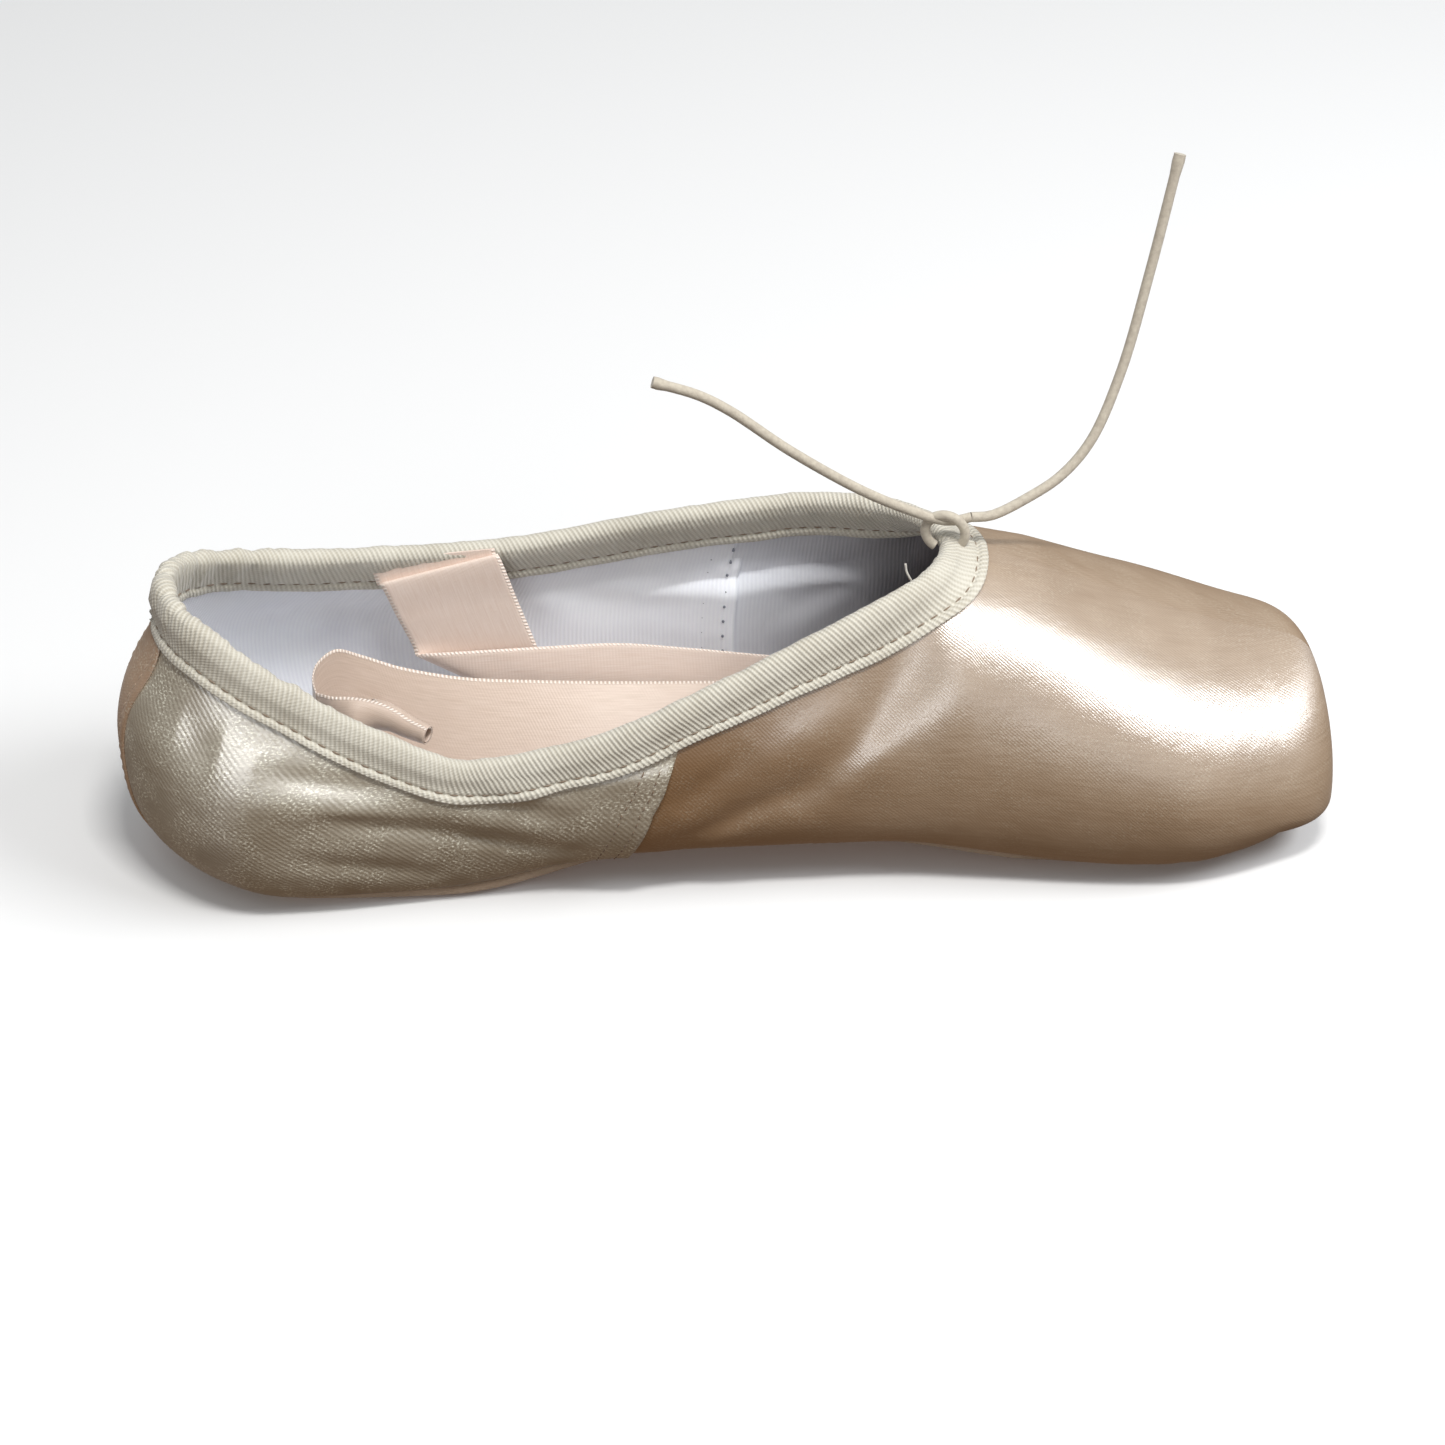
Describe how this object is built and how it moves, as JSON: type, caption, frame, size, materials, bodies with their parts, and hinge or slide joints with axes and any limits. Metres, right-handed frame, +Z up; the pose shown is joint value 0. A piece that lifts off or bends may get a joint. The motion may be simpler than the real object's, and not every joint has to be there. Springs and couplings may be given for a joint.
{
  "type": "pointe shoe",
  "caption": "Satin pointe shoe with a stiff flat-ended toe box, ribbed drawstring casing, knotted drawstring and sewn-in ribbons.",
  "frame": {"origin": "on the floor under the middle of the shoe, without the drawstring's free ends", "axes": "+X from the heel to the toe, +Z up, +Y towards the side wall that stands higher at the waist"},
  "size_m": [0.2403, 0.0744, 0.1298],
  "materials": {
    "satin": "peach satin with a strong directional sheen",
    "ribbon": "peach satin ribbon with woven selvedges",
    "casing_tape": "ecru ribbed twill tape",
    "cotton_lining": "off-white cotton drill",
    "cord": "round matte cotton drawstring",
    "sole_leather": "buffed leather",
    "board": "stiff fibre board",
    "paste": "paste-stiffened layered hessian",
    "steel": "plain steel"
  },
  "bodies": {
    "forefoot": {"satin_vamp": "satin", "toe_box": "paste", "vamp_lining": "cotton_lining", "drawstring_casing": "casing_tape", "drawstring_run": "cord", "drawstring_knot": "cord", "drawstring_end_heelward": "cord", "drawstring_end_toeward": "cord", "outsole": "sole_leather", "insole_board": "board", "shank": "board", "toe_filler": "paste", "sock_lining": "cotton_lining", "ribbon_far": "ribbon", "ribbon_near": "ribbon"},
    "heel": {"satin_quarter_far": "satin", "satin_quarter_near": "satin", "quarter_lining_far": "cotton_lining", "quarter_lining_near": "cotton_lining", "back_seam_strip": "satin", "back_seam_tape": "casing_tape", "shank_nail_1": "steel", "shank_nail_2": "steel", "shank_nail_3": "steel"}
  },
  "joints": [
    {"name": "shank_flex", "type": "hinge", "parent": "forefoot", "child": "heel", "pos_m": [-0.021, 0, 0.006], "axis": [0, -1, 0], "range_deg": [0, 20], "stiffness_Nm_per_rad": 5, "deforming": ["outsole", "insole_board", "shank", "sock_lining", "drawstring_casing", "drawstring_run", "quarter_lining_far", "quarter_lining_near", "ribbon_far", "ribbon_near"]}
  ]
}
